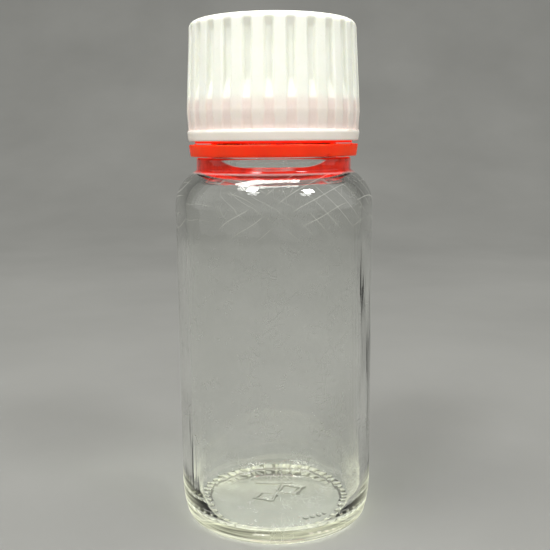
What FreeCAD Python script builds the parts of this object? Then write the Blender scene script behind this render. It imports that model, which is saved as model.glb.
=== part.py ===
import FreeCAD, Part
import math
import os
import Sketcher

# Clear glass bottle with a two-shell child-resistant, tamper-evident screw closure.
# Millimetres, +Z up, origin at the centre of the plane that the bottle stands on.

os.makedirs("parts", exist_ok=True)
doc = FreeCAD.newDocument("lens_solution_bottle")
sheet = doc.addObject("Spreadsheet::Sheet", "dims")
sheet.Label = "dims"

# Every driving dimension: name, value in millimetres (or degrees, or a count).
DIMENSIONS = [
    # glass bottle, outside
    ("body_r", 20.5),
    ("heel_top_z", 8.1),
    ("heel_low_r", 19.61),
    ("heel_low_z", 1.35),
    ("heel_arc", 26.04),
    ("foot_r", 18.32),
    ("foot_z", 0.35),
    ("foot_arc", 1.334),
    ("foot_in_r", 15.2),
    ("push_up_r", 14.6),
    ("push_up_edge_z", 0.7),
    ("push_up_z", 1.9),
    ("push_up_arc", 87.0),
    ("dome_flat_r", 1.5),
    ("shoulder_z", 67.0),
    ("shoulder_arc", 8.19),
    ("shoulder_end_r", 16.1),
    ("shoulder_end_z", 74.25),
    ("support_fillet", 0.6),
    ("support_r", 15.95),
    ("support_low_z", 74.75),
    ("support_edge_z", 76.4),
    ("support_arc", 0.45),
    ("support_flat_r", 15.5),
    ("support_top_z", 76.85),
    ("neck_fillet_r", 13.2),
    ("neck_fillet", 0.3),
    ("neck_r", 12.9),
    ("neck_low_z", 77.15),
    ("bead_low_z", 79.9),
    ("bead_edge_r", 13.6),
    ("bead_edge_z", 80.0),
    ("bead_arc", 1.6),
    ("bead_top_z", 82.8),
    ("thread_root_r", 12.6),
    ("lip_out_z", 97.2),
    ("lip_out_arc", 1.2),
    ("lip_out_r", 11.4),
    ("mouth_z", 98.4),
    ("lip_in_r", 9.9),
    ("lip_in_arc", 0.65),
    ("lip_in_z", 97.75),
    # glass bottle, inside
    ("bore_r", 9.25),
    ("bore_low_z", 79.5),
    ("throat_top_r", 10.7),
    ("throat_top_z", 78.4),
    ("throat_bend_z", 75.63),
    ("throat_arc", 2.6),
    ("throat_r", 13.0),
    ("throat_z", 73.05),
    ("inner_shoulder_arc", 6.09),
    ("inside_r", 18.4),
    ("inside_low_z", 9.0),
    ("inner_heel_arc", 14.9),
    ("inner_heel_r", 17.5),
    ("inner_heel_z", 3.9),
    ("floor_corner_arc", 1.53),
    ("floor_r", 15.9),
    ("floor_z", 2.9),
    ("floor_centre_z", 3.73),
    ("floor_arc", 152.0),
    # knurled bars under the bearing ring
    ("knurl_count", 44),
    ("knurl_in_r", 15.5),
    ("knurl_out_r", 18.1),
    ("knurl_half_low", 0.35),
    ("knurl_half_high", 0.85),
    ("knurl_in_high_r", 15.1),
    ("knurl_out_high_r", 18.7),
    ("knurl_high_z", 0.8),
    # screw thread, glass side and cap side
    ("pitch", 3.0),
    ("thread_length", 4.8),
    ("glass_thread_z", 89.6),
    ("glass_thread_crest_r", 13.7),
    ("glass_thread_bury_r", 12.3),
    ("glass_thread_crest_half", 0.4),
    ("glass_thread_base_half", 0.95),
    ("cap_thread_z", 88.1),
    ("cap_thread_crest_r", 12.95),
    ("cap_thread_bury_r", 14.3),
    ("cap_thread_crest_half", 0.3),
    ("cap_thread_base_half", 0.85),
    # tamper band
    ("band_low_z", 77.1),
    ("band_top_z", 79.5),
    ("band_low_edge_z", 77.35),
    ("band_top_edge_z", 79.2),
    ("band_in_r", 15.9),
    ("band_low_r", 17.1),
    ("band_low_flat_r", 16.9),
    ("band_top_r", 17.4),
    ("band_top_flat_r", 17.1),
    ("flap_count", 12),
    ("flap_angle", 21.0),
    ("flap_root_r", 16.1),
    ("flap_root_low_z", 77.3),
    ("flap_root_top_z", 78.0),
    ("flap_tip_r", 13.4),
    ("flap_tip_low_z", 78.9),
    ("flap_tip_top_z", 79.4),
    ("stub_count", 8),
    ("stub_in_r", 15.95),
    ("stub_out_r", 16.35),
    ("stub_half", 0.45),
    ("stub_high", 0.15),
    # inner cap
    ("inner_low_z", 79.75),
    ("inner_low_bore_r", 14.4),
    ("inner_flange_flat_r", 16.0),
    ("inner_flange_r", 16.2),
    ("inner_flange_edge_z", 79.95),
    ("inner_flange_top_z", 81.4),
    ("inner_skirt_r", 15.25),
    ("inner_skirt_z", 81.9),
    ("inner_ring_z", 83.55),
    ("inner_ring_r", 15.72),
    ("inner_ring_top_z", 84.0),
    ("inner_wall_r", 15.1),
    ("inner_wall_z", 84.9),
    ("inner_top_r", 14.75),
    ("inner_top_edge_z", 100.3),
    ("inner_top_flat_r", 14.15),
    ("inner_top_z", 100.9),
    ("inner_roof_z", 99.6),
    ("inner_bore_r", 13.95),
    ("inner_bore_low_z", 84.0),
    ("inner_counterbore_z", 83.3),
    # drive lugs between the two shells
    ("lug_count", 8),
    ("lug_in_r", 10.0),
    ("lug_out_r", 13.2),
    ("lug_foot_half", 1.7),
    ("lug_tip_half", 0.9),
    ("lug_root_z", 102.9),
    ("inner_lug_top_z", 101.4),
    ("outer_lug_low_z", 101.5),
    # spring fingers
    ("spring_low_z", 100.95),
    ("spring_ring_z", 101.35),
    ("spring_ring_in_r", 4.6),
    ("spring_ring_out_r", 8.6),
    ("finger_count", 6),
    ("finger_in_r", 5.2),
    ("finger_out_r", 8.2),
    ("finger_root_x", 1.9),
    ("finger_tip_x", 1.9),
    ("finger_tip_flat_x", 1.1),
    ("finger_tip_low_z", 102.0),
    ("finger_tip_z", 102.45),
    # outer cap
    ("outer_low_z", 80.15),
    ("outer_low_in_r", 16.45),
    ("outer_low_flat_r", 17.25),
    ("collar_low_r", 17.5),
    ("collar_low_z", 80.45),
    ("collar_top_r", 17.7),
    ("collar_top_z", 82.0),
    ("ledge_r", 17.45),
    ("ledge_z", 82.6),
    ("belly_r", 17.7),
    ("belly_z", 86.0),
    ("rim_r", 16.91),
    ("rim_z", 102.33),
    ("rim_arc", 1.37),
    ("top_flat_r", 15.54),
    ("top_z", 103.7),
    ("outer_roof_z", 102.5),
    ("cavity_top_r", 15.15),
    ("cavity_low_r", 15.95),
    ("cavity_low_z", 83.5),
    ("catch_r", 15.45),
    ("catch_low_z", 82.9),
    ("catch_root_z", 82.3),
    # grip grooves
    ("groove_count", 26),
    ("groove_start", 4.5),
    ("groove_open_r", 18.6),
    ("groove_open_half", 1.75),
    ("groove_low_z", 82.55),
    ("groove_low_floor_r", 17.22),
    ("groove_low_half", 0.8),
    ("groove_bend_z", 88.1),
    ("groove_bend_floor_r", 17.38),
    ("groove_bend_half", 0.85),
    ("groove_waist_z", 91.5),
    ("groove_waist_floor_r", 16.55),
    ("groove_waist_half", 0.5),
    ("groove_top_z", 101.2),
    ("groove_top_floor_r", 16.15),
    ("groove_top_half", 0.55),
    ("groove_rim_z", 102.6),
    ("groove_rim_floor_r", 16.9),
    ("groove_rim_half", 0.7),
    # liner
    ("liner_r", 13.7),
    ("facing_top_z", 98.55),
]
for row, (name, value) in enumerate(DIMENSIONS, start=1):
    sheet.set(f"A{row}", name)
    sheet.set(f"B{row}", str(value))
    sheet.setAlias(f"B{row}", name)
doc.recompute()

AXIS = None
ORIGIN_PLANES = {"XY": "XY_Plane", "XZ": "XZ_Plane"}
START = 1
END = 2


def dim(name):
    return float(sheet.get(name))


def origin_part(body, role):
    return [feature for feature in body.Origin.OriginFeatures if feature.Role == role][0]


def new_body(name):
    body = doc.addObject("PartDesign::Body", name)
    body.Label = name
    return body


def signed(name):
    # A leading minus sign puts the named distance on the negative side of the axis.
    if name is AXIS:
        return 0.0
    if name.startswith("-"):
        return -dim(name[1:])
    return dim(name)


def arc_middle(a, b, radius, side):
    # side is +1 when the arc bulges to the left of the way from a to b, -1 to the right.
    chord = b - a
    half = chord.Length / 2.0
    rise = radius - math.sqrt(max(radius * radius - half * half, 0.0))
    left = FreeCAD.Vector(-chord.y, chord.x, 0).normalize()
    return (a + b) / 2.0 + left * (rise * side)


def pin_coordinate(sketch, kind, line, position, name):
    # Ties one coordinate of a sketch point to a cell of the sheet, or to the axis itself.
    if name is AXIS:
        axis = -2 if kind == "DistanceX" else -1
        sketch.addConstraint(Sketcher.Constraint("PointOnObject", line, position, axis))
        return
    cell = name.lstrip("-")
    if name.startswith("-"):
        constraint = Sketcher.Constraint(kind, line, position, -1, 1, dim(cell))
    else:
        constraint = Sketcher.Constraint(kind, -1, 1, line, position, dim(cell))
    index = sketch.addConstraint(constraint)
    sketch.setExpression(f"Constraints[{index}]", f"dims.{cell}")


def closed_sketch(body, name, plane, corners, offset=None):
    # corners: (x name, y name) or (x name, y name, arc radius name, side) for the way to the next one.
    sketch = body.newObject("Sketcher::SketchObject", name)
    sketch.AttachmentSupport = [(origin_part(body, ORIGIN_PLANES[plane]), "")]
    sketch.MapMode = "FlatFace"
    if offset is not None:
        sketch.setExpression("AttachmentOffset.Base.z", offset)
    points = [FreeCAD.Vector(signed(c[0]), signed(c[1]), 0) for c in corners]
    count = len(corners)
    ends = []
    for i, corner in enumerate(corners):
        a = points[i]
        b = points[(i + 1) % count]
        if len(corner) == 2:
            sketch.addGeometry(Part.LineSegment(a, b), False)
            ends.append((START, END))
            continue
        radius = dim(corner[2])
        arc = Part.Arc(a, arc_middle(a, b, radius, corner[3]), b)
        line = sketch.addGeometry(arc, False)
        runs_forward = sketch.getPoint(line, START).distanceToPoint(a) < 1e-6
        ends.append((START, END) if runs_forward else (END, START))
    for i in range(count):
        after = (i + 1) % count
        sketch.addConstraint(Sketcher.Constraint("Coincident", i, ends[i][1], after, ends[after][0]))
    for i, corner in enumerate(corners):
        pin_coordinate(sketch, "DistanceX", i, ends[i][0], corner[0])
        pin_coordinate(sketch, "DistanceY", i, ends[i][0], corner[1])
        if len(corner) > 2:
            index = sketch.addConstraint(Sketcher.Constraint("Radius", i, dim(corner[2])))
            sketch.setExpression(f"Constraints[{index}]", f"dims.{corner[2]}")
    return sketch


def revolve(body, name, sketch, degrees=360.0, angle_cell=None):
    feature = body.newObject("PartDesign::Revolution", name)
    feature.Profile = sketch
    feature.ReferenceAxis = (sketch, ["V_Axis"])
    feature.Angle = degrees
    if angle_cell:
        feature.Midplane = True
        feature.setExpression("Angle", f"dims.{angle_cell}")
    doc.recompute()
    return feature


def loft(body, kind, name, first, sections):
    feature = body.newObject(kind, name)
    feature.Profile = first
    feature.Sections = sections
    feature.Ruled = True
    doc.recompute()
    return feature


def pad_between(body, name, sketch, length):
    feature = body.newObject("PartDesign::Pad", name)
    feature.Profile = sketch
    feature.setExpression("Length", length)
    feature.Reversed = True
    doc.recompute()
    return feature


def ring_pattern(body, name, feature, count_cell):
    pattern = body.newObject("PartDesign::PolarPattern", name)
    pattern.Originals = [feature]
    pattern.Axis = (origin_part(body, "Z_Axis"), [""])
    pattern.Angle = 360.0
    body.Tip = pattern
    pattern.setExpression("Occurrences", f"dims.{count_cell}")
    doc.recompute()
    return pattern


def helix(body, name, sketch):
    feature = body.newObject("PartDesign::AdditiveHelix", name)
    feature.Profile = sketch
    feature.ReferenceAxis = (sketch, ["V_Axis"])
    feature.Mode = 0
    feature.setExpression("Pitch", "dims.pitch")
    feature.setExpression("Height", "dims.thread_length")
    doc.recompute()
    return feature


def thread_profile(body, name, centre, bury, crest, base_half, crest_half):
    # A tooth that tapers from its buried root to its crest, centred on one height of the sheet.
    sketch = body.newObject("Sketcher::SketchObject", name)
    sketch.AttachmentSupport = [(origin_part(body, "XZ_Plane"), "")]
    sketch.MapMode = "FlatFace"
    sketch.setExpression("AttachmentOffset.Base.y", f"dims.{centre}")
    corners = [
        (bury, "-" + base_half),
        (crest, "-" + crest_half),
        (crest, crest_half),
        (bury, base_half),
    ]
    points = [FreeCAD.Vector(signed(x), signed(y), 0) for x, y in corners]
    for i in range(4):
        sketch.addGeometry(Part.LineSegment(points[i], points[(i + 1) % 4]), False)
    for i in range(4):
        sketch.addConstraint(Sketcher.Constraint("Coincident", i, END, (i + 1) % 4, START))
    for i, (x, y) in enumerate(corners):
        pin_coordinate(sketch, "DistanceX", i, START, x)
        pin_coordinate(sketch, "DistanceY", i, START, y)
    return sketch


# Glass bottle: one blown shell, the mouth thread and the knurled foot.
bottle = new_body("glass_bottle")
shell_sketch = closed_sketch(bottle, "bottle_section", "XZ", [
    (AXIS, "push_up_z"),
    ("dome_flat_r", "push_up_z", "push_up_arc", 1),
    ("push_up_r", "push_up_edge_z"),
    ("foot_in_r", "foot_z"),
    ("foot_r", "foot_z", "foot_arc", -1),
    ("heel_low_r", "heel_low_z", "heel_arc", -1),
    ("body_r", "heel_top_z"),
    ("body_r", "shoulder_z", "shoulder_arc", -1),
    ("shoulder_end_r", "shoulder_end_z", "support_fillet", 1),
    ("support_r", "support_low_z"),
    ("support_r", "support_edge_z", "support_arc", -1),
    ("support_flat_r", "support_top_z"),
    ("neck_fillet_r", "support_top_z", "neck_fillet", 1),
    ("neck_r", "neck_low_z"),
    ("neck_r", "bead_low_z"),
    ("bead_edge_r", "bead_edge_z", "bead_arc", -1),
    ("thread_root_r", "bead_top_z"),
    ("thread_root_r", "lip_out_z", "lip_out_arc", -1),
    ("lip_out_r", "mouth_z"),
    ("lip_in_r", "mouth_z", "lip_in_arc", -1),
    ("bore_r", "lip_in_z"),
    ("bore_r", "bore_low_z"),
    ("throat_top_r", "throat_top_z"),
    ("throat_top_r", "throat_bend_z", "throat_arc", -1),
    ("throat_r", "throat_z", "inner_shoulder_arc", 1),
    ("inside_r", "shoulder_z"),
    ("inside_r", "inside_low_z", "inner_heel_arc", 1),
    ("inner_heel_r", "inner_heel_z", "floor_corner_arc", 1),
    ("floor_r", "floor_z", "floor_arc", -1),
    ("dome_flat_r", "floor_centre_z"),
    (AXIS, "floor_centre_z"),
])
bottle_shell = revolve(bottle, "bottle_shell", shell_sketch)
glass_tooth = thread_profile(
    bottle, "glass_tooth", "glass_thread_z", "glass_thread_bury_r",
    "glass_thread_crest_r", "glass_thread_base_half", "glass_thread_crest_half",
)
helix(bottle, "glass_thread", glass_tooth)
knurl_low = closed_sketch(bottle, "knurl_low", "XY", [
    ("knurl_in_r", "-knurl_half_low"),
    ("knurl_out_r", "-knurl_half_low"),
    ("knurl_out_r", "knurl_half_low"),
    ("knurl_in_r", "knurl_half_low"),
])
knurl_high = closed_sketch(bottle, "knurl_high", "XY", [
    ("knurl_in_high_r", "-knurl_half_high"),
    ("knurl_out_high_r", "-knurl_half_high"),
    ("knurl_out_high_r", "knurl_half_high"),
    ("knurl_in_high_r", "knurl_half_high"),
], offset="dims.knurl_high_z")
knurl_bar = loft(bottle, "PartDesign::AdditiveLoft", "knurl_bar", knurl_low, [knurl_high])
ring_pattern(bottle, "knurl_ring", knurl_bar, "knurl_count")

# Tamper band: the snapped-off ring, its retaining flaps and the bridge stubs on its rim.
band = new_body("tamper_band")
band_sketch = closed_sketch(band, "band_section", "XZ", [
    ("band_in_r", "band_low_z"),
    ("band_low_flat_r", "band_low_z"),
    ("band_low_r", "band_low_edge_z"),
    ("band_top_r", "band_top_edge_z"),
    ("band_top_flat_r", "band_top_z"),
    ("band_in_r", "band_top_z"),
])
revolve(band, "band_ring", band_sketch)
flap_sketch = closed_sketch(band, "flap_section", "XZ", [
    ("flap_root_r", "flap_root_low_z"),
    ("flap_root_r", "flap_root_top_z"),
    ("flap_tip_r", "flap_tip_top_z"),
    ("flap_tip_r", "flap_tip_low_z"),
])
flap = revolve(band, "flap", flap_sketch, dim("flap_angle"), "flap_angle")
ring_pattern(band, "flap_ring", flap, "flap_count")
stub_sketch = closed_sketch(band, "stub_plan", "XY", [
    ("stub_in_r", "-stub_half"),
    ("stub_out_r", "-stub_half"),
    ("stub_out_r", "stub_half"),
    ("stub_in_r", "stub_half"),
], offset="dims.band_top_z")
stub = band.newObject("PartDesign::Pad", "bridge_stub")
stub.Profile = stub_sketch
stub.setExpression("Length", "dims.stub_high")
doc.recompute()
ring_pattern(band, "bridge_stubs", stub, "stub_count")

# Inner cap: the threaded shell that seals the bottle, with drive lugs on its roof.
inner = new_body("inner_cap")
inner_sketch = closed_sketch(inner, "inner_section", "XZ", [
    ("inner_low_bore_r", "inner_low_z"),
    ("inner_flange_flat_r", "inner_low_z"),
    ("inner_flange_r", "inner_flange_edge_z"),
    ("inner_flange_r", "inner_flange_top_z"),
    ("inner_skirt_r", "inner_skirt_z"),
    ("inner_skirt_r", "inner_ring_z"),
    ("inner_ring_r", "inner_ring_z"),
    ("inner_ring_r", "inner_ring_top_z"),
    ("inner_wall_r", "inner_wall_z"),
    ("inner_top_r", "inner_top_edge_z"),
    ("inner_top_flat_r", "inner_top_z"),
    (AXIS, "inner_top_z"),
    (AXIS, "inner_roof_z"),
    ("inner_bore_r", "inner_roof_z"),
    ("inner_bore_r", "inner_bore_low_z"),
    ("inner_low_bore_r", "inner_counterbore_z"),
])
revolve(inner, "inner_shell", inner_sketch)
cap_tooth = thread_profile(
    inner, "cap_tooth", "cap_thread_z", "cap_thread_bury_r",
    "cap_thread_crest_r", "cap_thread_base_half", "cap_thread_crest_half",
)
helix(inner, "cap_thread", cap_tooth)
inner_lug_sketch = closed_sketch(inner, "inner_lug_side", "XZ", [
    ("-lug_foot_half", "inner_roof_z"),
    ("lug_tip_half", "inner_roof_z"),
    ("lug_tip_half", "inner_lug_top_z"),
    ("-lug_tip_half", "inner_lug_top_z"),
    ("-lug_foot_half", "inner_top_z"),
], offset="-dims.lug_in_r")
inner_lug = pad_between(inner, "inner_lug", inner_lug_sketch, "dims.lug_out_r - dims.lug_in_r")
ring_pattern(inner, "inner_lugs", inner_lug, "lug_count")

# Outer cap: the ribbed shell that the hand grips.
outer = new_body("outer_cap")
outer_sketch = closed_sketch(outer, "outer_section", "XZ", [
    ("outer_low_in_r", "outer_low_z"),
    ("outer_low_flat_r", "outer_low_z"),
    ("collar_low_r", "collar_low_z"),
    ("collar_top_r", "collar_top_z"),
    ("ledge_r", "ledge_z"),
    ("belly_r", "belly_z"),
    ("rim_r", "rim_z", "rim_arc", -1),
    ("top_flat_r", "top_z"),
    (AXIS, "top_z"),
    (AXIS, "outer_roof_z"),
    ("cavity_top_r", "outer_roof_z"),
    ("cavity_low_r", "cavity_low_z"),
    ("catch_r", "cavity_low_z"),
    ("catch_r", "catch_low_z"),
    ("outer_low_in_r", "catch_root_z"),
])
revolve(outer, "outer_shell", outer_sketch)
# Going up, the groove floor runs shallow above the collar, dips in, and runs out at the rim.
groove_sections = []
for level in ["low", "bend", "waist", "top", "rim"]:
    section = closed_sketch(outer, f"groove_{level}", "XY", [
        (f"groove_{level}_floor_r", f"-groove_{level}_half"),
        ("groove_open_r", "-groove_open_half"),
        ("groove_open_r", "groove_open_half"),
        (f"groove_{level}_floor_r", f"groove_{level}_half"),
    ], offset=f"dims.groove_{level}_z")
    turn = FreeCAD.Rotation(FreeCAD.Vector(0, 0, 1), dim("groove_start"))
    section.AttachmentOffset = FreeCAD.Placement(section.AttachmentOffset.Base, turn)
    section.setExpression("AttachmentOffset.Rotation.Angle", "dims.groove_start * 1 deg")
    groove_sections.append(section)
doc.recompute()
groove = loft(outer, "PartDesign::SubtractiveLoft", "grip_groove", groove_sections[0], groove_sections[1:])
ring_pattern(outer, "grip_grooves", groove, "groove_count")
outer_lug_sketch = closed_sketch(outer, "outer_lug_side", "XZ", [
    ("-lug_tip_half", "lug_root_z"),
    ("-lug_tip_half", "outer_lug_low_z"),
    ("lug_tip_half", "outer_lug_low_z"),
    ("lug_foot_half", "outer_roof_z"),
    ("lug_foot_half", "lug_root_z"),
])
# The outer lugs stand half a step round from the inner ones, so they drop between them.
half_step = 180.0 / dim("lug_count")
outer_lug_sketch.AttachmentOffset = FreeCAD.Placement(
    FreeCAD.Vector(0, 0, 0), FreeCAD.Rotation(FreeCAD.Vector(0, 1, 0), half_step)
)
outer_lug_sketch.setExpression("AttachmentOffset.Base.x", "-dims.lug_in_r * sin(180 deg / dims.lug_count)")
outer_lug_sketch.setExpression("AttachmentOffset.Base.z", "-dims.lug_in_r * cos(180 deg / dims.lug_count)")
outer_lug = pad_between(outer, "outer_lug", outer_lug_sketch, "dims.lug_out_r - dims.lug_in_r")
ring_pattern(outer, "outer_lugs", outer_lug, "lug_count")

# Spring: a flat ring with rising fingers that hold the outer cap up.
spring = new_body("spring_fingers")
ring_sketch = closed_sketch(spring, "spring_ring_section", "XZ", [
    ("spring_ring_in_r", "spring_low_z"),
    ("spring_ring_out_r", "spring_low_z"),
    ("spring_ring_out_r", "spring_ring_z"),
    ("spring_ring_in_r", "spring_ring_z"),
])
revolve(spring, "spring_ring", ring_sketch)
finger_sketch = closed_sketch(spring, "finger_side", "XZ", [
    ("-finger_root_x", "spring_low_z"),
    ("finger_tip_x", "finger_tip_low_z"),
    ("finger_tip_x", "finger_tip_z"),
    ("finger_tip_flat_x", "finger_tip_z"),
    ("-finger_root_x", "spring_ring_z"),
], offset="-dims.finger_in_r")
finger = pad_between(spring, "finger", finger_sketch, "dims.finger_out_r - dims.finger_in_r")
ring_pattern(spring, "fingers", finger, "finger_count")

# Sealing liner: a foam disc with a thin film that meets the glass.
liner = doc.addObject("Part::Cylinder", "sealing_liner")
liner.Label = "sealing_liner"
liner.setExpression("Radius", "dims.liner_r")
liner.setExpression("Height", "dims.inner_roof_z - dims.facing_top_z")
liner.setExpression("Placement.Base.z", "dims.facing_top_z")
facing = doc.addObject("Part::Cylinder", "liner_facing")
facing.Label = "liner_facing"
facing.setExpression("Radius", "dims.liner_r")
facing.setExpression("Height", "dims.facing_top_z - dims.mouth_z")
facing.setExpression("Placement.Base.z", "dims.mouth_z")
doc.recompute()

parts = [bottle, band, inner, outer, spring, liner, facing]
for feature in doc.Objects:
    if "Invalid" in feature.State or "Error" in feature.State:
        raise RuntimeError(f"{feature.Label}: {feature.State}")
for part in parts:
    if part.Shape.isNull() or not part.Shape.isValid():
        raise RuntimeError(f"{part.Label} has no valid shape")
    part.Shape.exportStep(f"parts/{part.Label}.step")
    print(part.Label, round(part.Shape.Volume / 1000.0, 3), "cm3,", len(part.Shape.Solids), "solid")
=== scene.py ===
import math

import bpy
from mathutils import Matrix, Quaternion, Vector, noise


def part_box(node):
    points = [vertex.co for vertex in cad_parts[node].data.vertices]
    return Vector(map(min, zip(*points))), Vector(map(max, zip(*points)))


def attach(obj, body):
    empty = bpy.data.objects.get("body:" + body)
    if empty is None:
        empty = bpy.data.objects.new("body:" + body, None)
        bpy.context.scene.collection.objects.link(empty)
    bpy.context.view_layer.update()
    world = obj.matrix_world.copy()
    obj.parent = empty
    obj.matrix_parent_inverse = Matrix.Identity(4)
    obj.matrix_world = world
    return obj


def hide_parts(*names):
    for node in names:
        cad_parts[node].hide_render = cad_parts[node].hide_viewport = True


# Clear glass bottle with a white ribbed child-resistant cap over a red tamper band.
# Shapes are written in millimetres and scaled to metres as each mesh is made.
# Materials, lamps and the camera are in metres.

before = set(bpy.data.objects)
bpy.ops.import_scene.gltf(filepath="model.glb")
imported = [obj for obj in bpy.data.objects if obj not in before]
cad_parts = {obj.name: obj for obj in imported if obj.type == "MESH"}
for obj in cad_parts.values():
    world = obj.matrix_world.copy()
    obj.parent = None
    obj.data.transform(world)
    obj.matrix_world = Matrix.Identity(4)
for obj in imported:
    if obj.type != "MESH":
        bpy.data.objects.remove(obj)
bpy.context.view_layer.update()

MM = 0.001
TURN = 2.0 * math.pi

# Driving sizes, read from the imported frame.
glass_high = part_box("glass_bottle")[1]
cap_low, cap_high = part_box("outer_cap")
band_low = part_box("tamper_band")[0]
BODY_R = glass_high.x / MM
MOUTH_Z = glass_high.z / MM
CAP_TOP = cap_high.z / MM
CAP_LOW = cap_low.z / MM
BAND_LOW = band_low.z / MM
BAND_TOP = 79.5


# ---------------------------------------------------------------- outline helpers

def run(p, q, steps):
    """Points from p towards q, q itself left out."""
    return [
        (p[0] + (q[0] - p[0]) * i / steps, p[1] + (q[1] - p[1]) * i / steps)
        for i in range(steps)
    ]


def arc(p, q, radius, side, steps):
    """Points on a circular arc from p to q, q left out. side is +1 for one bulge, -1 for the other."""
    dx, dz = q[0] - p[0], q[1] - p[1]
    chord = math.hypot(dx, dz)
    depth = math.sqrt(max(radius * radius - chord * chord / 4.0, 0.0))
    cx = (p[0] + q[0]) / 2.0 + dz / chord * depth * side
    cz = (p[1] + q[1]) / 2.0 - dx / chord * depth * side
    start = math.atan2(p[1] - cz, p[0] - cx)
    sweep = math.atan2(q[1] - cz, q[0] - cx) - start
    if side > 0:
        sweep = sweep % TURN - TURN
    else:
        sweep = sweep % TURN
    angles = [start + sweep * i / steps for i in range(steps)]
    return [(cx + radius * math.cos(a), cz + radius * math.sin(a)) for a in angles]


def outline(legs):
    """Points along legs that each run to the start of the next.

    A leg is (point, steps) when straight and (point, steps, radius, side) when an arc.
    """
    points = []
    for leg, following in zip(legs, legs[1:]):
        if len(leg) == 2:
            points += run(leg[0], following[0], leg[1])
        else:
            points += arc(leg[0], following[0], leg[2], leg[3], leg[1])
    points.append(legs[-1][0])
    return points


def smooth(t):
    """0 below 0, 1 above 1, and a soft rise between."""
    t = min(max(t, 0.0), 1.0)
    return t * t * (3.0 - 2.0 * t)


def on_ring(r, angle, z):
    """A point in metres from a radius and height in millimetres."""
    return r * math.cos(angle) * MM, r * math.sin(angle) * MM, z * MM


def lathe(points, segments, shape=None, closed=False):
    """Turns an outline of (r, z) into verts and faces. shape(r, z, angle, row) may move each point."""
    verts, rows = [], []
    for k, (r, z) in enumerate(points):
        if r < 1e-6:
            rows.append([len(verts)])
            verts.append((0.0, 0.0, z * MM))
            continue
        row = []
        for s in range(segments):
            angle = TURN * s / segments
            shaped_r, shaped_z = shape(r, z, angle, k) if shape else (r, z)
            row.append(len(verts))
            verts.append(on_ring(shaped_r, angle, shaped_z))
        rows.append(row)
    pairs = list(zip(rows, rows[1:]))
    if closed:
        pairs.append((rows[-1], rows[0]))
    faces = []
    for a, b in pairs:
        if len(a) == 1 and len(b) == 1:
            continue
        for s in range(segments):
            t = (s + 1) % segments
            if len(a) == 1:
                faces.append((a[0], b[t], b[s]))
            elif len(b) == 1:
                faces.append((a[s], a[t], b[0]))
            else:
                faces.append((a[s], a[t], b[t], b[s]))
    return verts, faces


def sector(section, middle, half, steps=8, taper=0.0):
    """A block with a given (r, z) section swept about the axis. taper narrows it towards its top."""
    low = min(z for r, z in section)
    high = max(z for r, z in section)
    count = len(section)
    verts, faces = [], []
    for s in range(steps + 1):
        share = 2.0 * s / steps - 1.0
        for r, z in section:
            angle = middle + share * half * (1.0 - taper * (z - low) / (high - low))
            verts.append(on_ring(r, angle, z))
    for s in range(steps):
        for k in range(count):
            a, b = s * count + k, s * count + (k + 1) % count
            faces.append((a, a + count, b + count, b))
    faces.append(tuple(range(count)))
    faces.append(tuple(steps * count + k for k in reversed(range(count))))
    return verts, faces


def piece(name, parts, material, body, replaced):
    """One shown mesh from several (verts, faces) pairs, riding on a CAD body in place of its node."""
    verts, faces = [], []
    for part_verts, part_faces in parts:
        base = len(verts)
        verts += part_verts
        faces += [tuple(base + i for i in face) for face in part_faces]
    mesh = bpy.data.meshes.new(name)
    mesh.from_pydata(verts, [], faces)
    mesh.validate()
    mesh.polygons.foreach_set("use_smooth", [True] * len(mesh.polygons))
    mesh.materials.append(material)
    obj = bpy.data.objects.new(name, mesh)
    bpy.context.scene.collection.objects.link(obj)
    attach(obj, body)
    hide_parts(replaced)


# ---------------------------------------------------------------- material helpers

def new_material(name, **inputs):
    """A material with one principled shader, its node tree and that shader."""
    mat = bpy.data.materials.new(name)
    mat.use_nodes = True
    tree = mat.node_tree
    tree.nodes.clear()
    out = tree.nodes.new("ShaderNodeOutputMaterial")
    shader = node(tree, "ShaderNodeBsdfPrincipled", **inputs)
    tree.links.new(shader.outputs[0], out.inputs["Surface"])
    return mat, tree, shader


def node(tree, kind, **inputs):
    made = tree.nodes.new(kind)
    for key, value in inputs.items():
        made.inputs[key.replace("_", " ")].default_value = value
    return made


def object_coords(tree, scale=(1.0, 1.0, 1.0)):
    coords = tree.nodes.new("ShaderNodeTexCoord")
    mapping = tree.nodes.new("ShaderNodeMapping")
    mapping.inputs["Scale"].default_value = scale
    tree.links.new(coords.outputs["Object"], mapping.inputs["Vector"])
    return mapping.outputs["Vector"]


def noise_node(tree, vector, scale, detail=4.0):
    made = node(tree, "ShaderNodeTexNoise", Scale=scale, Detail=detail, Roughness=0.55)
    tree.links.new(vector, made.inputs["Vector"])
    return made.outputs["Fac"]


def ramp(tree, factor, stops):
    """Two colours run into each other between two places on a factor."""
    made = tree.nodes.new("ShaderNodeValToRGB")
    for element, (place, colour) in zip(made.color_ramp.elements, stops):
        element.position = place
        element.color = (*colour, 1.0)
    tree.links.new(factor, made.inputs["Fac"])
    return made.outputs["Color"]


def maths(tree, operation, a, b=0.0):
    made = tree.nodes.new("ShaderNodeMath")
    made.operation = operation
    for socket, value in zip(made.inputs, (a, b)):
        if isinstance(value, (int, float)):
            socket.default_value = value
        else:
            tree.links.new(value, socket)
    return made.outputs[0]


def product(tree, first, *others):
    for other in others:
        first = maths(tree, "MULTIPLY", first, other)
    return first


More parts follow.
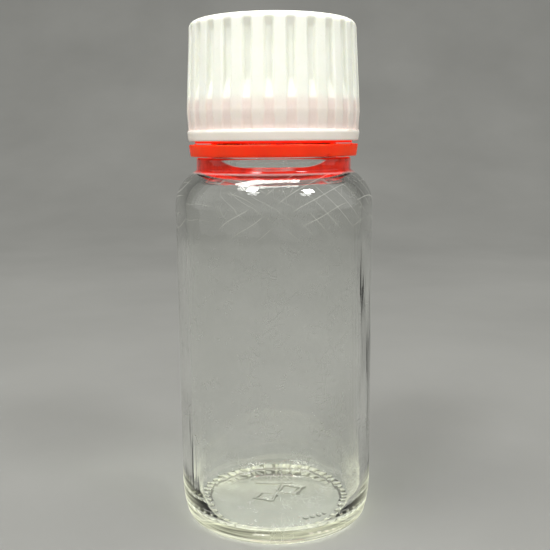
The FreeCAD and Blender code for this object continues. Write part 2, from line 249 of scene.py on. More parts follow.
def fade(tree, value, ends, to_low=0.0, to_high=1.0, soft=True):
    """Runs from to_low to to_high as a value goes from ends[0] to ends[1], and stays there."""
    made = tree.nodes.new("ShaderNodeMapRange")
    made.interpolation_type = "SMOOTHSTEP" if soft else "LINEAR"
    made.inputs["From Min"].default_value = ends[0]
    made.inputs["From Max"].default_value = ends[1]
    made.inputs["To Min"].default_value = to_low
    made.inputs["To Max"].default_value = to_high
    tree.links.new(value, made.inputs["Value"])
    return made.outputs["Result"]


def mix_colour(tree, factor, a, b):
    made = tree.nodes.new("ShaderNodeMix")
    made.data_type = "RGBA"
    for socket, value in ((made.inputs[0], factor), (made.inputs[6], a), (made.inputs[7], b)):
        if isinstance(value, tuple):
            socket.default_value = (*value, 1.0)
        else:
            tree.links.new(value, socket)
    return made.outputs[2]


def bump(tree, height, strength, distance, normal=None):
    made = node(tree, "ShaderNodeBump", Strength=strength, Distance=distance)
    tree.links.new(height, made.inputs["Height"])
    if normal is not None:
        tree.links.new(normal, made.inputs["Normal"])
    return made.outputs["Normal"]


def height_and_radius(tree):
    """The point's height and its distance from the bottle's axis."""
    coords = tree.nodes.new("ShaderNodeTexCoord")
    split = tree.nodes.new("ShaderNodeSeparateXYZ")
    tree.links.new(coords.outputs["Object"], split.inputs[0])
    xx = maths(tree, "MULTIPLY", split.outputs["X"], split.outputs["X"])
    yy = maths(tree, "MULTIPLY", split.outputs["Y"], split.outputs["Y"])
    return split.outputs["Z"], maths(tree, "SQRT", maths(tree, "ADD", xx, yy))


# ---------------------------------------------------------------- clear glass material

GLASS_IOR = 1.52
CLEAR_TINT = (0.985, 0.99, 0.98)
SHADOW_TINT = (0.93, 0.94, 0.92, 1.0)
DEPTH_TINT = (0.80, 0.92, 0.55, 1.0)
DEPTH_TINT_DENSITY = 6.0

# Haze and scratches from handling. The long shoulder hairlines are shown only as painted highlights, a
# glow where the scratches would catch the light.
HAZE_DULL = 0.025
SCRATCH_DULL = 0.35
SCRATCH_CELLS = (700.0, 500.0, 420.0)
HAIR_SETS = [((0.55, 0.35, 0.75), 0.0026, 80.0), ((-0.60, 0.25, 0.76), 0.0031, 95.0)]
HAIR_WANDER = 3.2
HAIR_WIDTH = 0.013
HAIR_FOOT_Z, HAIR_TOP_Z = (0.060, 0.067), (0.0744, 0.0736)
HAIR_LIGHT, HAIR_GLOW = (1.0, 1.0, 0.96), 0.62

# Upright folds in the blown inside wall.
INSIDE_R = (0.0190, 0.0188)
FOLD_FOOT_Z, FOLD_TOP_Z = (0.006, 0.012), (0.066, 0.060)
FOLD_SCALE = (150.0, 150.0, 14.0)

# Painted light: the thick heel, the low glass seen edge-on and the bars under the foot glow pale
# yellow-green, in place of light carried round inside the glass.
HEEL_Z, HEEL_R = (0.0050, 0.0036), (0.0172, 0.0184)
CORNER_Z, CORNER_FACING = (0.0120, 0.0070), (0.42, 0.88)
STREAK_SCALE = (60.0, 60.0, 1500.0)
HEEL_LIGHT, HEEL_GLOW = (0.93, 0.95, 0.68), (0.20, 0.66)
FOOT_BAR_Z, FOOT_BAR_GLOW = (0.00025, 0.00008), 0.42

# Painted reflection: the flanks of the support ring get a red colour and a red glow, and are made less
# clear, in place of the red band seen bent round through the glass.
RING_FOOT_Z, RING_TOP_Z, RING_R = (0.0736, 0.0742), (0.0771, 0.0769), (0.0149, 0.0153)
FLANK_RISE_Z, FLANK_RISE, FLANK_FACING = (0.0751, 0.0767), 0.26, (-0.01, 0.05)
RING_PAINTED_RED = (0.62, 0.018, 0.006)
RING_LIGHT, RING_GLOW = (0.85, 0.020, 0.005), (0.02, 0.22)
RING_SOLIDITY = 0.75


def glass_roughness(tree, vector):
    """Handling haze and patches of short hairline scratches."""
    dull = fade(tree, noise_node(tree, vector, 240.0, detail=6.0), (0.55, 0.80), 0.0, HAZE_DULL)
    cells = node(tree, "ShaderNodeTexVoronoi", Scale=1.0, Randomness=1.0)
    cells.feature = "DISTANCE_TO_EDGE"
    tree.links.new(object_coords(tree, SCRATCH_CELLS), cells.inputs["Vector"])
    line = fade(tree, cells.outputs["Distance"], (0.0, 0.02), 1.0, 0.0)
    patchy = fade(tree, noise_node(tree, vector, 170.0, detail=2.0), (0.55, 0.62))
    return maths(tree, "MAXIMUM", dull, product(tree, line, patchy, SCRATCH_DULL))


def hairlines(tree, vector, across, spacing, patch_scale):
    """Fine broken lines at right angles to a direction, as a mask."""
    dot = tree.nodes.new("ShaderNodeVectorMath")
    dot.operation = "DOT_PRODUCT"
    tree.links.new(vector, dot.inputs[0])
    dot.inputs[1].default_value = across
    wander = product(tree, noise_node(tree, vector, patch_scale * 0.45, detail=1.0), HAIR_WANDER)
    phase = maths(tree, "ADD", maths(tree, "DIVIDE", dot.outputs["Value"], spacing), wander)
    off = maths(tree, "ABSOLUTE", maths(tree, "SUBTRACT", maths(tree, "FRACT", phase), 0.5))
    line = fade(tree, off, (0.0, HAIR_WIDTH), 1.0, 0.0)
    patches = fade(tree, noise_node(tree, vector, patch_scale, detail=1.0), (0.53, 0.62))
    return maths(tree, "MULTIPLY", line, patches)


def shoulder_hair_glints(tree, vector, height):
    """Painted highlights: a mask of long fine scratches that cross on the shoulder, drawn only as a
    glow.
    """
    hair_glints = maths(tree, "MAXIMUM", *[hairlines(tree, vector, *values) for values in HAIR_SETS])
    return product(tree, hair_glints, fade(tree, height, HAIR_FOOT_Z), fade(tree, height, HAIR_TOP_Z))


def wall_folds(tree, height, radius):
    """The blown inside wall ripples in long upright folds. The moulded outside is smooth."""
    folds = noise_node(tree, object_coords(tree, FOLD_SCALE), 1.0, detail=3.0)
    in_wall = product(tree, fade(tree, height, FOLD_FOOT_Z), fade(tree, height, FOLD_TOP_Z))
    return bump(tree, product(tree, folds, fade(tree, radius, INSIDE_R), in_wall), 0.4, 0.0006)


def painted_heel_glow(tree, height, radius, facing, outward):
    """Painted light: the heel, the low glass seen edge-on and the foot bars glow pale yellow-green, in
    place of light carried round inside the thick glass.
    """
    streaks = noise_node(tree, object_coords(tree, STREAK_SCALE), 1.0, detail=3.0)
    heel = product(tree, fade(tree, height, HEEL_Z), fade(tree, radius, HEEL_R))
    corner = product(tree, fade(tree, facing, CORNER_FACING), fade(tree, height, CORNER_Z))
    glow = maths(tree, "MAXIMUM", heel, corner)
    glow = product(tree, glow, fade(tree, streaks, (0.35, 0.65), *HEEL_GLOW), outward)
    return maths(tree, "MAXIMUM", glow, product(tree, fade(tree, height, FOOT_BAR_Z), FOOT_BAR_GLOW))


def painted_band_reflection(tree, height, radius, facing, outward):
    """Painted reflection: a mask of the support ring's flanks. These are painted red and glow in place
    of the red band that the ring bends sight lines round to.
    """
    up_ring = maths(tree, "SQRT", fade(tree, height, FLANK_RISE_Z, soft=False))
    flank = maths(tree, "SUBTRACT", facing, product(tree, up_ring, FLANK_RISE))
    ring = product(
        tree,
        fade(tree, height, RING_FOOT_Z),
        fade(tree, height, RING_TOP_Z),
        fade(tree, radius, RING_R),
    )
    return product(tree, fade(tree, flank, FLANK_FACING), ring, outward)


def glass_material():
    mat, tree, shader = new_material("clear_glass", IOR=GLASS_IOR)
    link = tree.links.new
    height, radius = height_and_radius(tree)
    vector = object_coords(tree)
    facing = tree.nodes.new("ShaderNodeLayerWeight").outputs["Facing"]
    backfacing = tree.nodes.new("ShaderNodeNewGeometry").outputs["Backfacing"]
    outward = maths(tree, "SUBTRACT", 1.0, backfacing)
    link(glass_roughness(tree, vector), shader.inputs["Roughness"])
    link(wall_folds(tree, height, radius), shader.inputs["Normal"])

    hair_glints = shoulder_hair_glints(tree, vector, height)
    # Painted reflection: the support ring's flanks take a red colour, lose some clearness and get a
    # mottled red glow.
    band_reflection_mask = painted_band_reflection(tree, height, radius, facing, outward)
    link(mix_colour(tree, band_reflection_mask, CLEAR_TINT, RING_PAINTED_RED), shader.inputs["Base Color"])
    see_through = maths(tree, "SUBTRACT", 1.0, product(tree, band_reflection_mask, RING_SOLIDITY))
    link(see_through, shader.inputs["Transmission Weight"])

    # Painted light: the glow colour is pale yellow-green on the heel and near-white on the shoulder
    # hairlines.
    light = mix_colour(tree, hair_glints, HEEL_LIGHT, HAIR_LIGHT)
    link(mix_colour(tree, band_reflection_mask, light, RING_LIGHT), shader.inputs["Emission Color"])
    mottle = noise_node(tree, object_coords(tree, (1.0, 1.0, 0.6)), 480.0)
    band_reflection_glow = product(tree, band_reflection_mask, fade(tree, mottle, (0.35, 0.65), *RING_GLOW))
    # Painted light: glow on the heel, the low edge-on glass and the foot bars.
    glow = painted_heel_glow(tree, height, radius, facing, outward)
    # Painted highlight: the shoulder hairlines glow as if they were catching the light.
    glow = maths(tree, "MAXIMUM", glow, product(tree, hair_glints, outward, HAIR_GLOW))
    link(maths(tree, "MAXIMUM", glow, band_reflection_glow), shader.inputs["Emission Strength"])

    # Shadow rays pass straight through, so the bottle doesn't shade itself like a solid.
    clear = node(tree, "ShaderNodeBsdfTransparent", Color=SHADOW_TINT)
    mix = tree.nodes.new("ShaderNodeMixShader")
    link(tree.nodes.new("ShaderNodeLightPath").outputs["Is Shadow Ray"], mix.inputs["Fac"])
    link(shader.outputs[0], mix.inputs[1])
    link(clear.outputs[0], mix.inputs[2])
    out = tree.nodes["Material Output"]
    link(mix.outputs[0], out.inputs["Surface"])
    tint = node(tree, "ShaderNodeVolumeAbsorption", Density=DEPTH_TINT_DENSITY, Color=DEPTH_TINT)
    link(tint.outputs[0], out.inputs["Volume"])
    return mat


# ---------------------------------------------------------------- plastic, liner and floor materials

PLASTIC_IOR = 1.49
GRAIN_SCALE = 2600.0
WHITE = [(0.3, (0.90, 0.92, 0.81)), (0.7, (0.93, 0.94, 0.85))]
WARM_WHITE = [(0.3, (0.83, 0.70, 0.63)), (0.7, (0.86, 0.73, 0.67))]
WARM_TOP_Z, COLLAR_Z, GROOVE_FLOOR_R = (0.0895, 0.0868), (0.0818, 0.0824), (0.01765, 0.0174)
RED = [(0.25, (0.97, 0.040, 0.004)), (0.75, (1.0, 0.060, 0.008))]
# Painted light: the deep red glow on the red plastic's inner faces.
INNER_GLOW_RED = [(0.3, (0.62, 0.010, 0.003)), (0.7, (0.85, 0.030, 0.008))]
INNER_FACE_R, INNER_TOP_Z, INNER_CORE_R = (0.0166, 0.0162), (0.0850, 0.0835), (0.0146, 0.0143)
INNER_RED_GLOW = 0.5
SPRING_WHITE = [(0.3, (0.80, 0.80, 0.76)), (0.7, (0.88, 0.88, 0.84))]
FOAM_WHITE = [(0.0, (0.78, 0.78, 0.75)), (0.6, (0.93, 0.93, 0.91))]
FILM_SILVER = [(0.3, (0.82, 0.84, 0.86)), (0.7, (0.90, 0.91, 0.92))]
FLOOR_GREY = [(0.3, (0.158, 0.159, 0.150)), (0.7, (0.185, 0.186, 0.176))]


def white_cap_material():
    mat, tree, shader = new_material("white_cap", IOR=PLASTIC_IOR)
    vector = object_coords(tree)
    height, radius = height_and_radius(tree)
    mottle = noise_node(tree, vector, 300.0, detail=3.0)
    # The red inner shell shows faintly through the lower wall, more where the grooves thin it.
    share = product(
        tree,
        fade(tree, height, WARM_TOP_Z),
        fade(tree, radius, GROOVE_FLOOR_R, 0.65, 1.0),
        fade(tree, height, COLLAR_Z, 0.60, 1.0),
    )
    colour = mix_colour(tree, share, ramp(tree, mottle, WHITE), ramp(tree, mottle, WARM_WHITE))
    tree.links.new(colour, shader.inputs["Base Color"])
    shader.inputs["Subsurface Weight"].default_value = 0.25
    shader.inputs["Subsurface Radius"].default_value = (1.0, 0.9, 0.7)
    shader.inputs["Subsurface Scale"].default_value = 0.0012
    grain = noise_node(tree, vector, GRAIN_SCALE, detail=3.0)
    tree.links.new(fade(tree, grain, (0.3, 0.7), 0.27, 0.38), shader.inputs["Roughness"])
    draw = noise_node(tree, object_coords(tree, (900.0, 900.0, 60.0)), 1.0, detail=3.0)
    normal = bump(tree, draw, 0.12, 0.00006)
    tree.links.new(bump(tree, grain, 0.10, 0.00003, normal), shader.inputs["Normal"])
    return mat


def red_material():
    mat, tree, shader = new_material("red_cap", IOR=PLASTIC_IOR)
    vector = object_coords(tree)
    height, radius = height_and_radius(tree)
    mottle = noise_node(tree, vector, 260.0)
    tree.links.new(ramp(tree, mottle, RED), shader.inputs["Base Color"])
    shader.inputs["Specular IOR Level"].default_value = 0.25
    shader.inputs["Subsurface Weight"].default_value = 1.0
    shader.inputs["Subsurface Radius"].default_value = (1.0, 0.12, 0.04)
    shader.inputs["Subsurface Scale"].default_value = 0.0022
    # Painted light: the inner faces glow a deep red, standing in for light let through the plastic.
    low_inside = product(tree, fade(tree, radius, INNER_FACE_R), fade(tree, height, INNER_TOP_Z))
    inner = maths(tree, "MAXIMUM", low_inside, fade(tree, radius, INNER_CORE_R))
    tree.links.new(ramp(tree, mottle, INNER_GLOW_RED), shader.inputs["Emission Color"])
    tree.links.new(product(tree, inner, INNER_RED_GLOW), shader.inputs["Emission Strength"])
    grain = noise_node(tree, vector, GRAIN_SCALE, detail=3.0)
    tree.links.new(fade(tree, grain, (0.3, 0.7), 0.42, 0.55), shader.inputs["Roughness"])
    tree.links.new(bump(tree, grain, 0.12, 0.00003), shader.inputs["Normal"])
    return mat


def spring_material():
    mat, tree, shader = new_material("spring_plastic", IOR=PLASTIC_IOR)
    vector = object_coords(tree)
    colour = ramp(tree, noise_node(tree, vector, 420.0), SPRING_WHITE)
    tree.links.new(colour, shader.inputs["Base Color"])
    grain = noise_node(tree, vector, 3000.0)
    tree.links.new(fade(tree, grain, (0.3, 0.7), 0.38, 0.52), shader.inputs["Roughness"])
    tree.links.new(bump(tree, grain, 0.15, 0.00003), shader.inputs["Normal"])
    return mat


def foam_material():
    mat, tree, shader = new_material("liner_foam", IOR=1.45)
    cells = node(tree, "ShaderNodeTexVoronoi", Scale=5200.0)
    tree.links.new(object_coords(tree), cells.inputs["Vector"])
    distance = cells.outputs["Distance"]
    tree.links.new(ramp(tree, distance, FOAM_WHITE), shader.inputs["Base Color"])
    tree.links.new(fade(tree, distance, (0.0, 0.7), 0.65, 0.85), shader.inputs["Roughness"])
    tree.links.new(bump(tree, distance, 0.4, 0.00008), shader.inputs["Normal"])
    return mat


def film_material():
    mat, tree, shader = new_material("liner_film", IOR=1.57)
    crinkle = noise_node(tree, object_coords(tree), 700.0, detail=5.0)
    tree.links.new(ramp(tree, crinkle, FILM_SILVER), shader.inputs["Base Color"])
    tree.links.new(fade(tree, crinkle, (0.3, 0.7), 0.12, 0.25), shader.inputs["Roughness"])
    tree.links.new(bump(tree, crinkle, 0.15, 0.00006), shader.inputs["Normal"])
    return mat


def floor_material():
    mat, tree, shader = new_material("pale_floor", Roughness=0.85)
    mottle = noise_node(tree, object_coords(tree), 9.0, detail=5.0)
    tree.links.new(ramp(tree, mottle, FLOOR_GREY), shader.inputs["Base Color"])
    return mat


# ---------------------------------------------------------------- glass bottle

GLASS_SEGMENTS = 352
PUSH_UP_Z, FOOT_Z = 1.9, 0.35
INSIDE_WALL_R = 18.4
WALL_LOW_Z, WALL_TOP_Z = 8.1, 67.0
NECK_R, BORE_R = 12.9, 9.25

# Bearing ring: moulded bars under the foot.
KNURL_BARS = 44
KNURL_IN, KNURL_OUT = 15.5, 18.3
BAR_HALF, BAR_SIDE = 0.14, 0.18

# Thread: one start, in turns and millimetres.
PITCH = 3.0
THREAD_LOW, THREAD_RISE = 89.6, 4.8
THREAD_ROOT, THREAD_CREST = 12.6, 13.7
THREAD_ZONE = (88.0, 96.2)
CREST_HALF, THREAD_FLANK = 0.30, 0.75
RUN_OUT, RUN_PAST = 0.08, 0.02

# Marks under the base: frames as centre and half width, a bar, and dots in a row.
MARK_DEPTH, MARK_OUT_R = 0.3, 14.4
MARK_TURN = math.radians(-18.0)
MARK_FRAMES = [(2.9, 1.9, 1.9), (-1.9, -1.6, 1.7)]
MARK_BAR_Y, MARK_BAR_HALF = 5.4, 3.6
MARK_DOTS, MARK_DOT_X, MARK_DOT_Y = 4, 6.0, -11.4
MARK_DOT_STEP_X, MARK_DOT_STEP_Y = 1.4, 0.5
MARK_SOFT = 0.3

# Waves in the blown inside wall.
WAVE_COARSE, WAVE_FINE = 0.28, 0.09
WAVE_LOW_Z, WAVE_TOP_Z = 5.0, 68.0


def thread_height(z, angle):
    """How far the moulded thread stands out of the neck at this height and angle."""
    best = 0.0
    turns = THREAD_RISE / PITCH
    for k in range(-1, 3):
        along = angle / TURN + k
        if along < -RUN_PAST or along > turns + RUN_PAST:
            continue
        centre = THREAD_LOW + PITCH * along
        fading = smooth((along + RUN_PAST) / RUN_OUT) * smooth((turns + RUN_PAST - along) / RUN_OUT)
        reach = 1.0 - smooth((abs(z - centre) - CREST_HALF) / THREAD_FLANK)
        best = max(best, reach * fading)
    return best * (THREAD_CREST - THREAD_ROOT)


def knurl_drop(r, angle):
    """How far down the bearing ring reaches: 0 between its bars and 1 on a bar."""
    across = (angle / TURN * KNURL_BARS + 0.5) % 1.0
    bar = 1.0 - smooth((abs(across - 0.5) - BAR_HALF) / BAR_SIDE)
    starts = smooth((r - KNURL_IN + 0.4) / 0.8)
    ends = smooth((r - KNURL_OUT + 0.2) / 0.7)
    return bar * starts * (1.0 - ends)


def ridge(away, half):
    """1 within a half width of a line and softly down to 0 beside it."""
    return 1.0 - smooth((away - half) / MARK_SOFT)


def frame_mark(x, y, half, turn):
    """A raised square frame about the origin, turned by an angle."""
    u = abs(x * math.cos(turn) + y * math.sin(turn))
    v = abs(y * math.cos(turn) - x * math.sin(turn))
    return ridge(abs(max(u, v) - half), 0.25)


def base_mark(r, angle):
    """Moulded marks under the base: two small frames, a bar and a row of mould dots."""
    x, y = r * math.cos(angle), r * math.sin(angle)
    height = max(frame_mark(x - cx, y - cy, half, MARK_TURN) for cx, cy, half in MARK_FRAMES)
    if abs(x) < MARK_BAR_HALF:
        height = max(height, ridge(abs(y - MARK_BAR_Y), 0.3))
    for k in range(MARK_DOTS):
        dot_x, dot_y = MARK_DOT_X + MARK_DOT_STEP_X * k, MARK_DOT_Y + MARK_DOT_STEP_Y * k
        height = max(height, ridge(math.hypot(x - dot_x, y - dot_y), 0.35))
    return height


def glass_outline():
    under = [
        ((0.0, PUSH_UP_Z), 1),
        ((1.5, PUSH_UP_Z), 48, 87.0, 1),
        ((14.6, 0.7), 3),
        ((15.2, FOOT_Z), 14),
    ]
    body = [
        ((18.32, FOOT_Z), 8, 1.334, -1),
        ((19.61, 1.35), 12, 26.04, -1),
        ((BODY_R, WALL_LOW_Z), 10),
        ((BODY_R, WALL_TOP_Z), 36, 8.19, -1),
    ]
    support_ring = [
        ((16.1, 74.25), 6, 0.6, 1),
        ((15.95, 74.75), 5),
        ((15.95, 76.4), 4, 0.45, -1),
        ((15.5, 76.85), 3),
        ((13.2, 76.85), 3, 0.3, 1),
    ]
    neck = [
        ((NECK_R, 77.15), 4),
        ((NECK_R, 79.9), 2),
        ((13.6, 80.0), 9, 1.6, -1),
        ((THREAD_ROOT, 82.8), 4),
        ((THREAD_ROOT, 88.2), 52),
        ((THREAD_ROOT, 96.0), 3),
    ]
    mouth = [
        ((THREAD_ROOT, 97.2), 6, 1.2, -1),
        ((11.4, MOUTH_Z), 2),
        ((9.9, MOUTH_Z), 5, 0.65, -1),
    ]
    throat = [
        ((BORE_R, 97.75), 4),
        ((BORE_R, 79.5), 3),
        ((10.7, 78.4), 3),
        ((10.7, 75.63), 10, 2.6, -1),
        ((13.0, 73.05), 18, 6.09, 1),
    ]
    inside = [
        ((INSIDE_WALL_R, WALL_TOP_Z), 24),
        ((INSIDE_WALL_R, 9.0), 8, 14.9, 1),
        ((17.5, 3.9), 6, 1.53, 1),
        ((15.9, 2.9), 16, 152.0, -1),
        ((1.5, 3.73), 1),
        ((0.0, 3.73), 1),
    ]
    return outline(under + body + support_ring + neck + mouth + throat + inside)


def inside_wave(angle, z):
    """The blown inside is never quite round or even."""
    spot = Vector((math.cos(angle) * 1.6, math.sin(angle) * 1.6, z * 0.035))
    wave = noise.noise(spot) * WAVE_COARSE + noise.noise(spot * 2.7) * WAVE_FINE
    return wave * smooth((z - WAVE_LOW_Z) / 6.0) * smooth((WAVE_TOP_Z - z) / 8.0)


def glass_shape(r, z, angle, row):
    if row < FOOT_ROW and r < MARK_OUT_R:
        return r, z - MARK_DEPTH * base_mark(r, angle)
    if z < 2.0 and KNURL_IN - 0.5 < r < KNURL_OUT + 0.8:
        return r, z - FOOT_Z * knurl_drop(r, angle)
    if THREAD_ROOT - 0.6 < r < THREAD_ROOT + 0.2 and THREAD_ZONE[0] <= z <= THREAD_ZONE[1]:
        return r + thread_height(z, angle), z
    if row > INSIDE_ROW and r > 14.0 and z > WAVE_LOW_Z:
        return r + inside_wave(angle, z), z
    return r, z


glass_points = glass_outline()
FOOT_ROW = min(i for i, p in enumerate(glass_points) if p[1] < FOOT_Z + 0.01)
INSIDE_ROW = max(i for i, p in enumerate(glass_points) if p[1] > MOUTH_Z - 0.01)
glass_mesh = lathe(glass_points, GLASS_SEGMENTS, glass_shape)
piece("glass_body", [glass_mesh], glass_material(), "bottle", "glass_bottle")


# ---------------------------------------------------------------- outer cap

GROOVES = 26
CAP_SEGMENTS = GROOVES * 24
GROOVE_START = math.radians(4.5)
GROOVE_SIDE = 0.5
# Up the wall: height, depth of the groove and half its width at mid depth.
GROOVE_STATIONS = [
    (82.3, 0.22, 0.95),
    (88.1, 0.22, 0.95),
    (91.5, 0.88, 0.80),
    (98.5, 0.84, 0.85),
    (101.0, 0.60, 0.85),
    (103.0, 0.0, 0.85),
]
SKIRT_R, CREST_R = 16.45, 17.7
ROOF_Z, RELIEF_Z = 102.5, 103.1
RELIEF_IN_R, RELIEF_OUT_R = 4.3, 8.9
CATCH_LOW_Z, CATCH_TOP_Z, CATCH_R = 82.9, 83.5, 15.45

LUG_COUNT = 8
LUG_SECTION = [(10.0, 101.5), (13.2, 101.5), (13.2, 102.9), (10.0, 102.9)]
LUG_TIP_HALF = 0.9 / 11.6
LUG_FLARE = 0.89


def groove_depth(z, angle, crest):
    """Depth of the grip grooves at a height: a flat floor between soft sides."""
    if z < GROOVE_STATIONS[0][0] or z > GROOVE_STATIONS[-1][0]:
        return 0.0
    for (za, da, wa), (zb, db, wb) in zip(GROOVE_STATIONS, GROOVE_STATIONS[1:]):
        if za <= z <= zb:
            t = (z - za) / (zb - za)
            depth, half = da + (db - da) * t, wa + (wb - wa) * t
            break
    step = TURN / GROOVES
    off = (angle - GROOVE_START + step / 2.0) % step - step / 2.0
    across = abs(off) * crest
    return depth * (1.0 - smooth((across - half + GROOVE_SIDE / 2.0) / GROOVE_SIDE))


def cap_shape(r, z, angle, row):
    if row > CAP_OUTSIDE_LAST or row < CAP_OUTSIDE_FIRST:
        return r, z
    return r - groove_depth(z, angle, r), z


def cap_outline():
    """The shell's closed section: collar, wall, rim, top, then back along the inside."""
    outside = [
        ((SKIRT_R, CAP_LOW), 2),
        ((17.25, CAP_LOW), 4, 0.3, -1),
        ((17.5, 80.45), 4),
        ((17.68, 81.95), 3),
        ((17.45, 82.5), 4),
        ((CREST_R, 86.0), 12),
        ((17.6, 88.1), 14),
        ((17.44, 91.5), 14),
        ((17.0, 100.0), 8),
        ((16.91, 102.33), 12, 1.37, -1),
        ((15.54, CAP_TOP), 4),
        ((0.0, CAP_TOP), 1),
    ]
    # The roof is relieved over the spring fingers, so that it clears them when pushed down.
    roof = [
        ((0.0, ROOF_Z), 1),
        ((RELIEF_IN_R, ROOF_Z), 2),
        ((RELIEF_IN_R, RELIEF_Z), 2),
        ((RELIEF_OUT_R, RELIEF_Z), 4),
        ((RELIEF_OUT_R, ROOF_Z), 2),
        ((15.15, ROOF_Z), 6),
    ]
    # A catch ring keeps the shell on the inner cap.
    catch = [
        ((15.95, CATCH_TOP_Z), 2),
        ((CATCH_R, CATCH_TOP_Z), 2),
        ((CATCH_R, CATCH_LOW_Z), 2),
        ((SKIRT_R, 82.3), 4),
        ((SKIRT_R, CAP_LOW), 1),
    ]
    return outline(outside + roof + catch)[:-1]


def outer_lugs():
    """The ratchet lugs under the roof, half a step round from the inner cap's."""
    middles = [TURN * (k + 0.5) / LUG_COUNT for k in range(LUG_COUNT)]
    return [sector(LUG_SECTION, middle, LUG_TIP_HALF, taper=-LUG_FLARE) for middle in middles]


cap_points = cap_outline()
CAP_OUTSIDE_FIRST = min(i for i, p in enumerate(cap_points) if p[1] >= GROOVE_STATIONS[0][0])
CAP_OUTSIDE_LAST = max(i for i, p in enumerate(cap_points) if p[1] >= CAP_TOP - 0.1)
cap_mesh = lathe(cap_points, CAP_SEGMENTS, cap_shape, closed=True)
piece("cap_shell", [cap_mesh] + outer_lugs(), white_cap_material(), "outer", "outer_cap")


# ---------------------------------------------------------------- tamper band

BAND_SEGMENTS = 360
BAND_IN_R, BAND_LOW_R, BAND_TOP_R, BAND_ARC = 15.9, 16.95, 17.39, 0.2
NICK_ANGLE, NICK_DEPTH = math.radians(-53.0), 0.28
FLAP_COUNT, FLAP_MIDDLE, FLAP_HALF = 12, math.radians(10.5), math.radians(10.5)
FLAP_SECTION = [(16.1, 77.3), (16.1, 78.0), (13.4, 79.4), (13.4, 78.9)]
STUB_COUNT, STUB_HALF = 8, 0.45 / 16.15
STUB_SECTION = [(15.95, 79.3), (16.35, 79.3), (16.35, 79.65), (15.95, 79.65)]


def band_outline():
    return outline([
        ((BAND_IN_R, BAND_LOW), 2),
        ((BAND_LOW_R, BAND_LOW), 3, BAND_ARC, -1),
        ((17.12, BAND_LOW + 0.18), 5),
        ((BAND_TOP_R, BAND_TOP - BAND_ARC), 3, BAND_ARC, -1),
        ((17.2, BAND_TOP), 2),
        ((BAND_IN_R, BAND_TOP), 4),
        ((BAND_IN_R, BAND_LOW), 1),
    ])[:-1]


def band_shape(r, z, angle, row):
    """A small tear nicks the lower edge."""
    away = abs((angle - NICK_ANGLE + math.pi) % TURN - math.pi) * r
    low = 1.0 - smooth((z - BAND_LOW) / 0.5)
    bite = (1.0 - smooth((away - 0.35) / 0.6)) * low
    return r, z + NICK_DEPTH * bite * smooth((r - 16.2) / 0.6)


def band_flaps():
    """The flaps lean inwards and up, to catch under the glass bead."""
    middles = [TURN * k / FLAP_COUNT + FLAP_MIDDLE for k in range(FLAP_COUNT)]
    return [sector(FLAP_SECTION, middle, FLAP_HALF) for middle in middles]


def bridge_stubs():
    """Torn bridges left standing on the band's rim."""
    middles = [TURN * k / STUB_COUNT for k in range(STUB_COUNT)]
    return [sector(STUB_SECTION, middle, STUB_HALF, steps=3) for middle in middles]


red = red_material()
band_mesh = lathe(band_outline(), BAND_SEGMENTS, band_shape, closed=True)
band_parts = [band_mesh] + band_flaps() + bridge_stubs()
piece("band_ring", band_parts, red, "tamper_ring", "tamper_band")


# ---------------------------------------------------------------- CAD nodes shown as they are

def carry(name, material):
    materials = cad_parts[name].data.materials
    materials.clear()
    materials.append(material)


carry("inner_cap", red)
carry("spring_fingers", spring_material())
carry("sealing_liner", foam_material())
carry("liner_facing", film_material())


# ---------------------------------------------------------------- floor, light and camera

FLOOR_NEAR, WALL_AWAY, BEND_R, WALL_HIGH, FLOOR_HALF = -1.6, 0.9, 0.5, 1.6, 2.5
BEND_STEPS = 24
MIDDLE = (0.0, 0.0, 0.06)
WORLD_COLOUR, WORLD_STRENGTH = (1.0, 1.0, 0.97, 1.0), 0.58
WHITE_LIGHT, STRIP_LIGHT = (1.0, 1.0, 1.0), (1.0, 0.99, 0.95)
CAMERA_PLACE = (0.0001, -0.1662, 0.0801)
CAMERA_PITCH, CAMERA_ROLL = math.radians(9.6), math.radians(-0.46)
SENSOR, LENS = 36.0, 51.78


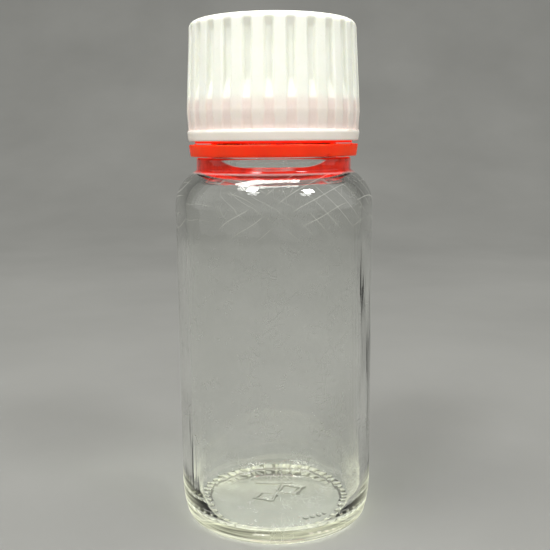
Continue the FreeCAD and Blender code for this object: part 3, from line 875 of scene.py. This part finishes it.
def sweep_backdrop():
    """A floor that curves up into a wall behind the bottle."""
    line = [(FLOOR_NEAR, 0.0), (WALL_AWAY - BEND_R, 0.0)]
    for i in range(1, BEND_STEPS + 1):
        a = math.pi / 2.0 * i / BEND_STEPS
        line.append((WALL_AWAY - BEND_R + BEND_R * math.sin(a), BEND_R - BEND_R * math.cos(a)))
    line.append((WALL_AWAY, WALL_HIGH))
    verts = []
    for y, z in line:
        verts += [(-FLOOR_HALF, y, z), (FLOOR_HALF, y, z)]
    faces = [(2 * i, 2 * i + 1, 2 * i + 3, 2 * i + 2) for i in range(len(line) - 1)]
    mesh = bpy.data.meshes.new("backdrop")
    mesh.from_pydata(verts, [], faces)
    mesh.polygons.foreach_set("use_smooth", [True] * len(mesh.polygons))
    mesh.materials.append(floor_material())
    obj = bpy.data.objects.new("backdrop", mesh)
    bpy.context.scene.collection.objects.link(obj)


def area_light(name, place, target, size, power, colour=WHITE_LIGHT, spin=0.0):
    data = bpy.data.lights.new(name, "AREA")
    data.shape = "RECTANGLE"
    data.size, data.size_y = size
    data.energy = power
    data.color = colour
    obj = bpy.data.objects.new(name, data)
    bpy.context.scene.collection.objects.link(obj)
    obj.location = place
    aim = (Vector(target) - Vector(place)).to_track_quat("-Z", "Y")
    obj.rotation_mode = "QUATERNION"
    obj.rotation_quaternion = aim @ Quaternion((0.0, 0.0, 1.0), spin)


def studio_world():
    world = bpy.data.worlds.new("studio")
    bpy.context.scene.world = world
    world.use_nodes = True
    background = world.node_tree.nodes["Background"]
    background.inputs["Color"].default_value = WORLD_COLOUR
    background.inputs["Strength"].default_value = WORLD_STRENGTH


def place_camera():
    data = bpy.data.cameras.new("camera")
    data.sensor_width = SENSOR
    data.lens = LENS
    data.clip_start = 0.01
    camera = bpy.data.objects.new("camera", data)
    bpy.context.scene.collection.objects.link(camera)
    camera.location = CAMERA_PLACE
    camera.rotation_mode = "QUATERNION"
    tilt = Quaternion((1.0, 0.0, 0.0), math.pi / 2.0 - CAMERA_PITCH)
    camera.rotation_quaternion = tilt @ Quaternion((0.0, 0.0, 1.0), CAMERA_ROLL)
    bpy.context.scene.camera = camera


sweep_backdrop()
strip_place, strip_target = (-0.10, -0.07, 0.90), (-0.10, -0.07, 0.0)
area_light("strip", strip_place, strip_target, (0.75, 0.22), 8.5, STRIP_LIGHT, math.radians(13.0))
area_light("left_panel", (-0.34, -0.47, 0.90), MIDDLE, (0.18, 0.20), 5.4)
area_light("right_panel", (0.60, -0.48, 0.90), MIDDLE, (0.22, 0.20), 6.1)
studio_world()
place_camera()
bpy.context.scene.view_settings.view_transform = "Standard"
bpy.context.scene.view_settings.exposure = 0.0
